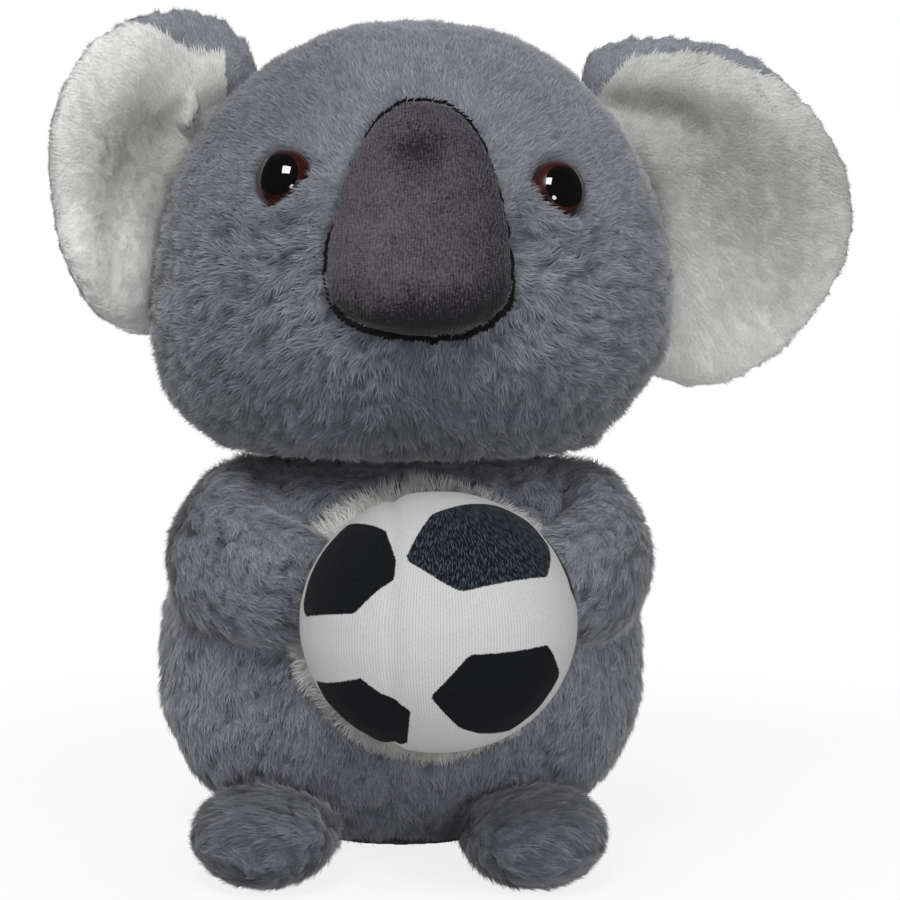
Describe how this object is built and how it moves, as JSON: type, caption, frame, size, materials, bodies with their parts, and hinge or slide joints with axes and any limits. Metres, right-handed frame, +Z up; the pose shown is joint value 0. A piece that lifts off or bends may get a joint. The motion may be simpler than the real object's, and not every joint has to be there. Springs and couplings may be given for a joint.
{
  "type": "plush koala with football",
  "caption": "Sitting plush koala with wide cupped ears, a padded velour nose and domed eyes, hugging a soft football against its white belly.",
  "frame": {"origin": "on the floor under the middle of the neck, at the flat face of the base panel", "axes": "+Z up along the sitting height, +Y towards the back, +X towards the viewer's right of the face"},
  "size_m": [0.2324, 0.1743, 0.248],
  "materials": {
    "grey_plush": "long soft pile, brushed",
    "white_plush": "soft white pile",
    "velour": "short ribbed velour",
    "black_thread": "satin stitch",
    "brown_plastic": "moulded, glossy",
    "black_plastic": "moulded, glossy",
    "washer_plastic": "moulded, natural",
    "ball_knit": "short pile knit with black printed patches",
    "fibre": "loose polyester fibre",
    "bag_cloth": "plain woven bag of pellets"
  },
  "bodies": {
    "torso": {"torso_cover": "grey_plush", "torso_filling": "fibre", "pellet_bag": "bag_cloth", "base_panel": "grey_plush", "belly_patch": "white_plush", "ball_cover": "ball_knit", "ball_filling": "fibre", "foot_left_cover": "grey_plush", "foot_left_filling": "fibre", "foot_right_cover": "grey_plush", "foot_right_filling": "fibre"},
    "arm_left": {"arm_left_cover": "grey_plush", "arm_left_filling": "fibre"},
    "arm_right": {"arm_right_cover": "grey_plush", "arm_right_filling": "fibre"},
    "head": {"head_cover": "grey_plush", "head_filling": "fibre", "nose_pad": "velour", "nose_stitching": "black_thread", "eye_left_ring": "brown_plastic", "eye_left_pupil": "black_plastic", "eye_left_washer": "washer_plastic", "eye_right_ring": "brown_plastic", "eye_right_pupil": "black_plastic", "eye_right_washer": "washer_plastic"},
    "ear_left": {"ear_left_back": "grey_plush", "ear_left_lining": "white_plush"},
    "ear_right": {"ear_right_back": "grey_plush", "ear_right_lining": "white_plush"}
  },
  "joints": [
    {"name": "neck_turn", "type": "hinge", "parent": "torso", "child": "head", "pos_m": [0, 0, 0.1178], "axis": [0, 0, 1], "range_deg": [-12, 12], "stiffness_Nm_per_rad": 0.3},
    {"name": "arm_left_opening", "type": "hinge", "parent": "torso", "child": "arm_left", "pos_m": [-0.06483, 0, 0.09], "axis": [-0.4486, 0, -0.8937], "range_deg": [0, 35], "stiffness_Nm_per_rad": 0.15},
    {"name": "arm_right_opening", "type": "hinge", "parent": "torso", "child": "arm_right", "pos_m": [0.06483, 0, 0.09], "axis": [-0.4486, 0, 0.8937], "range_deg": [0, 35], "stiffness_Nm_per_rad": 0.15},
    {"name": "ear_left_fold", "type": "hinge", "parent": "head", "child": "ear_left", "pos_m": [-0.07177, 0.0054, 0.19828], "axis": [0.3336, 0.0117, 0.9426], "range_deg": [-25, 10], "stiffness_Nm_per_rad": 0.08},
    {"name": "ear_right_fold", "type": "hinge", "parent": "head", "child": "ear_right", "pos_m": [0.08, 0.0107, 0.19165], "axis": [0.2502, 0.0087, -0.9681], "range_deg": [-25, 10], "stiffness_Nm_per_rad": 0.08}
  ]
}
